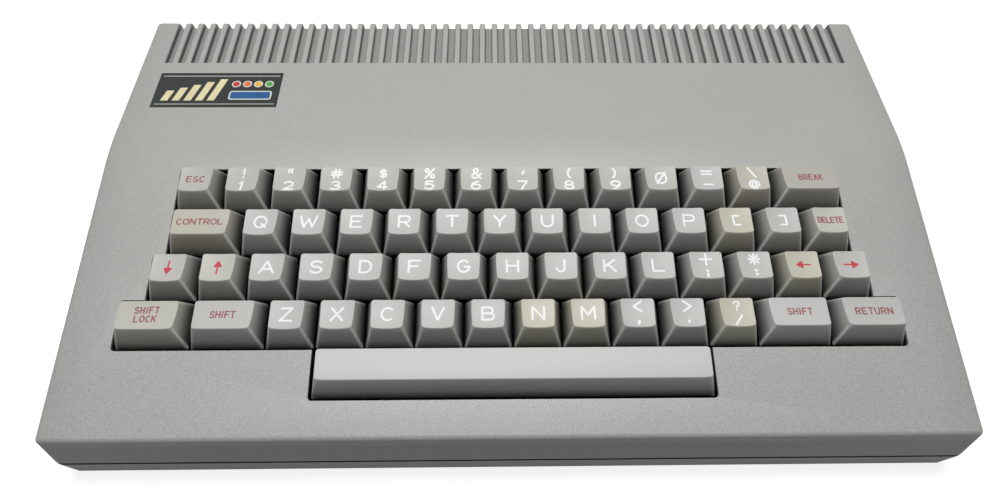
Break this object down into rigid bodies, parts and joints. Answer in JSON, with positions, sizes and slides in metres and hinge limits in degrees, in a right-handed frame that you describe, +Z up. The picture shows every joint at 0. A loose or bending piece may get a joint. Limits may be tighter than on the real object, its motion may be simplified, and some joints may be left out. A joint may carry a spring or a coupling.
{
  "type": "home computer",
  "caption": "Wedge-shaped home computer with a full-travel keyboard, ribbed vents, rear sockets and the boards inside.",
  "frame": {"origin": "centre of the footprint, at the level of the feet's undersides", "axes": "+X to the user's right along the case's width, +Y to the rear, +Z up"},
  "size_m": [0.352, 0.206, 0.0602],
  "materials": {
    "case_plastic": "warm grey moulded ABS with a fine spark-eroded texture",
    "tray_plastic": "warm grey moulded ABS, slightly darker",
    "badge": "dark enamelled plate with thin pale lines and small coloured squares",
    "foot_rubber": "black moulded rubber",
    "screw_steel": "zinc-plated steel screws",
    "frame_steel": "zinc-plated sheet steel",
    "switch_plastic": "black moulded acetal",
    "board_laminate": "green epoxy-glass laminate with solder resist",
    "wire_steel": "drawn steel wire",
    "chip_plastic": "black epoxy chip packages",
    "component_sleeve": "shrink-sleeved capacitors and small parts",
    "heatsink_aluminium": "folded aluminium with black regulators",
    "speaker_metal": "black loudspeaker frame",
    "can_tinplate": "tinned steel can and plated sleeve",
    "socket_plastic": "black socket bodies",
    "connector_plastic": "glass-filled polyester with plated pins",
    "cable_pvc": "grey PVC ribbon",
    "key_plastic": "pale grey double-shot keycaps with a satin dish",
    "key_plastic_yellowed": "the same keycaps, yellowed with age"
  },
  "bodies": {
    "case": {"upper_case": "case_plastic", "base_tray": "tray_plastic", "badge_plate": "badge", "rubber_feet": "foot_rubber", "case_screws": "screw_steel", "keyboard_frame": "frame_steel", "key_switches": "switch_plastic", "keyboard_board": "board_laminate", "main_board": "board_laminate", "board_chips": "chip_plastic", "board_components": "component_sleeve", "heatsink": "heatsink_aluminium", "loudspeaker": "speaker_metal", "tv_modulator": "can_tinplate", "rear_sockets": "socket_plastic", "expansion_connector": "connector_plastic", "ribbon_cable": "cable_pvc", "board_screws": "screw_steel"},
    "key_escape": {"key_escape": "key_plastic"},
    "key_break": {"key_break": "key_plastic"},
    "key_control": {"key_control": "key_plastic_yellowed"},
    "key_delete": {"key_delete": "key_plastic"},
    "key_cursor_down": {"key_cursor_down": "key_plastic"},
    "key_cursor_up": {"key_cursor_up": "key_plastic"},
    "key_cursor_left": {"key_cursor_left": "key_plastic"},
    "key_cursor_right": {"key_cursor_right": "key_plastic"},
    "key_shift_lock": {"key_shift_lock": "key_plastic"},
    "key_shift_left": {"key_shift_left": "key_plastic"},
    "key_shift_right": {"key_shift_right": "key_plastic"},
    "key_return": {"key_return": "key_plastic"},
    "space_bar": {"space_bar": "key_plastic"},
    "number_keys": {"number_keys": "key_plastic"},
    "punctuation_keys": {"punctuation_keys": "key_plastic"},
    "key_q": {"key_q": "key_plastic"},
    "key_w": {"key_w": "key_plastic"},
    "key_e": {"key_e": "key_plastic"},
    "key_r": {"key_r": "key_plastic"},
    "key_t": {"key_t": "key_plastic"},
    "key_y": {"key_y": "key_plastic"},
    "key_u": {"key_u": "key_plastic"},
    "key_i": {"key_i": "key_plastic"},
    "key_o": {"key_o": "key_plastic"},
    "key_p": {"key_p": "key_plastic"},
    "key_a": {"key_a": "key_plastic"},
    "key_s": {"key_s": "key_plastic"},
    "key_d": {"key_d": "key_plastic"},
    "key_f": {"key_f": "key_plastic"},
    "key_g": {"key_g": "key_plastic"},
    "key_h": {"key_h": "key_plastic"},
    "key_j": {"key_j": "key_plastic"},
    "key_k": {"key_k": "key_plastic"},
    "key_l": {"key_l": "key_plastic"},
    "key_z": {"key_z": "key_plastic"},
    "key_x": {"key_x": "key_plastic"},
    "key_c": {"key_c": "key_plastic"},
    "key_v": {"key_v": "key_plastic"},
    "key_b": {"key_b": "key_plastic"},
    "key_n": {"key_n": "key_plastic_yellowed"},
    "key_m": {"key_m": "key_plastic_yellowed"},
    "space_bar_wire": {"space_bar_wire": "wire_steel"}
  },
  "joints": [
    {"name": "escape_press", "type": "slide", "parent": "case", "child": "key_escape", "axis": [0, 0.1942, -0.981], "range_m": [0, 0.0036], "stiffness_N_per_m": 80, "springref_m": -0.003},
    {"name": "break_press", "type": "slide", "parent": "case", "child": "key_break", "axis": [0, 0.1942, -0.981], "range_m": [0, 0.0036], "stiffness_N_per_m": 80, "springref_m": -0.003},
    {"name": "control_press", "type": "slide", "parent": "case", "child": "key_control", "axis": [0, 0.1942, -0.981], "range_m": [0, 0.0036], "stiffness_N_per_m": 80, "springref_m": -0.003},
    {"name": "delete_press", "type": "slide", "parent": "case", "child": "key_delete", "axis": [0, 0.1942, -0.981], "range_m": [0, 0.0036], "stiffness_N_per_m": 80, "springref_m": -0.003},
    {"name": "cursor_down_press", "type": "slide", "parent": "case", "child": "key_cursor_down", "axis": [0, 0.1942, -0.981], "range_m": [0, 0.0036], "stiffness_N_per_m": 80, "springref_m": -0.003},
    {"name": "cursor_up_press", "type": "slide", "parent": "case", "child": "key_cursor_up", "axis": [0, 0.1942, -0.981], "range_m": [0, 0.0036], "stiffness_N_per_m": 80, "springref_m": -0.003},
    {"name": "cursor_left_press", "type": "slide", "parent": "case", "child": "key_cursor_left", "axis": [0, 0.1942, -0.981], "range_m": [0, 0.0036], "stiffness_N_per_m": 80, "springref_m": -0.003},
    {"name": "cursor_right_press", "type": "slide", "parent": "case", "child": "key_cursor_right", "axis": [0, 0.1942, -0.981], "range_m": [0, 0.0036], "stiffness_N_per_m": 80, "springref_m": -0.003},
    {"name": "shift_lock_press", "type": "slide", "parent": "case", "child": "key_shift_lock", "axis": [0, 0.1942, -0.981], "range_m": [0, 0.0036], "stiffness_N_per_m": 80, "springref_m": -0.003},
    {"name": "shift_left_press", "type": "slide", "parent": "case", "child": "key_shift_left", "axis": [0, 0.1942, -0.981], "range_m": [0, 0.0036], "stiffness_N_per_m": 80, "springref_m": -0.003},
    {"name": "shift_right_press", "type": "slide", "parent": "case", "child": "key_shift_right", "axis": [0, 0.1942, -0.981], "range_m": [0, 0.0036], "stiffness_N_per_m": 80, "springref_m": -0.003},
    {"name": "return_press", "type": "slide", "parent": "case", "child": "key_return", "axis": [0, 0.1942, -0.981], "range_m": [0, 0.0036], "stiffness_N_per_m": 80, "springref_m": -0.003},
    {"name": "space_bar_press", "type": "slide", "parent": "case", "child": "space_bar", "axis": [0, 0.1942, -0.981], "range_m": [0, 0.0036], "stiffness_N_per_m": 140, "springref_m": -0.003},
    {"name": "number_keys_press", "type": "slide", "parent": "case", "child": "number_keys", "axis": [0, 0.1942, -0.981], "range_m": [0, 0.0036], "stiffness_N_per_m": 600, "springref_m": -0.003},
    {"name": "punctuation_keys_press", "type": "slide", "parent": "case", "child": "punctuation_keys", "axis": [0, 0.1942, -0.981], "range_m": [0, 0.0036], "stiffness_N_per_m": 350, "springref_m": -0.003},
    {"name": "q_press", "type": "slide", "parent": "case", "child": "key_q", "axis": [0, 0.1942, -0.981], "range_m": [0, 0.0036], "stiffness_N_per_m": 80, "springref_m": -0.003},
    {"name": "w_press", "type": "slide", "parent": "case", "child": "key_w", "axis": [0, 0.1942, -0.981], "range_m": [0, 0.0036], "stiffness_N_per_m": 80, "springref_m": -0.003},
    {"name": "e_press", "type": "slide", "parent": "case", "child": "key_e", "axis": [0, 0.1942, -0.981], "range_m": [0, 0.0036], "stiffness_N_per_m": 80, "springref_m": -0.003},
    {"name": "r_press", "type": "slide", "parent": "case", "child": "key_r", "axis": [0, 0.1942, -0.981], "range_m": [0, 0.0036], "stiffness_N_per_m": 80, "springref_m": -0.003},
    {"name": "t_press", "type": "slide", "parent": "case", "child": "key_t", "axis": [0, 0.1942, -0.981], "range_m": [0, 0.0036], "stiffness_N_per_m": 80, "springref_m": -0.003},
    {"name": "y_press", "type": "slide", "parent": "case", "child": "key_y", "axis": [0, 0.1942, -0.981], "range_m": [0, 0.0036], "stiffness_N_per_m": 80, "springref_m": -0.003},
    {"name": "u_press", "type": "slide", "parent": "case", "child": "key_u", "axis": [0, 0.1942, -0.981], "range_m": [0, 0.0036], "stiffness_N_per_m": 80, "springref_m": -0.003},
    {"name": "i_press", "type": "slide", "parent": "case", "child": "key_i", "axis": [0, 0.1942, -0.981], "range_m": [0, 0.0036], "stiffness_N_per_m": 80, "springref_m": -0.003},
    {"name": "o_press", "type": "slide", "parent": "case", "child": "key_o", "axis": [0, 0.1942, -0.981], "range_m": [0, 0.0036], "stiffness_N_per_m": 80, "springref_m": -0.003},
    {"name": "p_press", "type": "slide", "parent": "case", "child": "key_p", "axis": [0, 0.1942, -0.981], "range_m": [0, 0.0036], "stiffness_N_per_m": 80, "springref_m": -0.003},
    {"name": "a_press", "type": "slide", "parent": "case", "child": "key_a", "axis": [0, 0.1942, -0.981], "range_m": [0, 0.0036], "stiffness_N_per_m": 80, "springref_m": -0.003},
    {"name": "s_press", "type": "slide", "parent": "case", "child": "key_s", "axis": [0, 0.1942, -0.981], "range_m": [0, 0.0036], "stiffness_N_per_m": 80, "springref_m": -0.003},
    {"name": "d_press", "type": "slide", "parent": "case", "child": "key_d", "axis": [0, 0.1942, -0.981], "range_m": [0, 0.0036], "stiffness_N_per_m": 80, "springref_m": -0.003},
    {"name": "f_press", "type": "slide", "parent": "case", "child": "key_f", "axis": [0, 0.1942, -0.981], "range_m": [0, 0.0036], "stiffness_N_per_m": 80, "springref_m": -0.003},
    {"name": "g_press", "type": "slide", "parent": "case", "child": "key_g", "axis": [0, 0.1942, -0.981], "range_m": [0, 0.0036], "stiffness_N_per_m": 80, "springref_m": -0.003},
    {"name": "h_press", "type": "slide", "parent": "case", "child": "key_h", "axis": [0, 0.1942, -0.981], "range_m": [0, 0.0036], "stiffness_N_per_m": 80, "springref_m": -0.003},
    {"name": "j_press", "type": "slide", "parent": "case", "child": "key_j", "axis": [0, 0.1942, -0.981], "range_m": [0, 0.0036], "stiffness_N_per_m": 80, "springref_m": -0.003},
    {"name": "k_press", "type": "slide", "parent": "case", "child": "key_k", "axis": [0, 0.1942, -0.981], "range_m": [0, 0.0036], "stiffness_N_per_m": 80, "springref_m": -0.003},
    {"name": "l_press", "type": "slide", "parent": "case", "child": "key_l", "axis": [0, 0.1942, -0.981], "range_m": [0, 0.0036], "stiffness_N_per_m": 80, "springref_m": -0.003},
    {"name": "z_press", "type": "slide", "parent": "case", "child": "key_z", "axis": [0, 0.1942, -0.981], "range_m": [0, 0.0036], "stiffness_N_per_m": 80, "springref_m": -0.003},
    {"name": "x_press", "type": "slide", "parent": "case", "child": "key_x", "axis": [0, 0.1942, -0.981], "range_m": [0, 0.0036], "stiffness_N_per_m": 80, "springref_m": -0.003},
    {"name": "c_press", "type": "slide", "parent": "case", "child": "key_c", "axis": [0, 0.1942, -0.981], "range_m": [0, 0.0036], "stiffness_N_per_m": 80, "springref_m": -0.003},
    {"name": "v_press", "type": "slide", "parent": "case", "child": "key_v", "axis": [0, 0.1942, -0.981], "range_m": [0, 0.0036], "stiffness_N_per_m": 80, "springref_m": -0.003},
    {"name": "b_press", "type": "slide", "parent": "case", "child": "key_b", "axis": [0, 0.1942, -0.981], "range_m": [0, 0.0036], "stiffness_N_per_m": 80, "springref_m": -0.003},
    {"name": "n_press", "type": "slide", "parent": "case", "child": "key_n", "axis": [0, 0.1942, -0.981], "range_m": [0, 0.0036], "stiffness_N_per_m": 80, "springref_m": -0.003},
    {"name": "m_press", "type": "slide", "parent": "case", "child": "key_m", "axis": [0, 0.1942, -0.981], "range_m": [0, 0.0036], "stiffness_N_per_m": 80, "springref_m": -0.003},
    {"name": "bar_wire_swing", "type": "hinge", "parent": "case", "child": "space_bar_wire", "pos_m": [0, -0.06911, 0.03494], "axis": [1, 0, 0], "range_deg": [0, 20.53]}
  ],
  "couplings": [
    {"joint": "bar_wire_swing", "follows": "space_bar_press", "rad_per_m": 98.555}
  ]
}
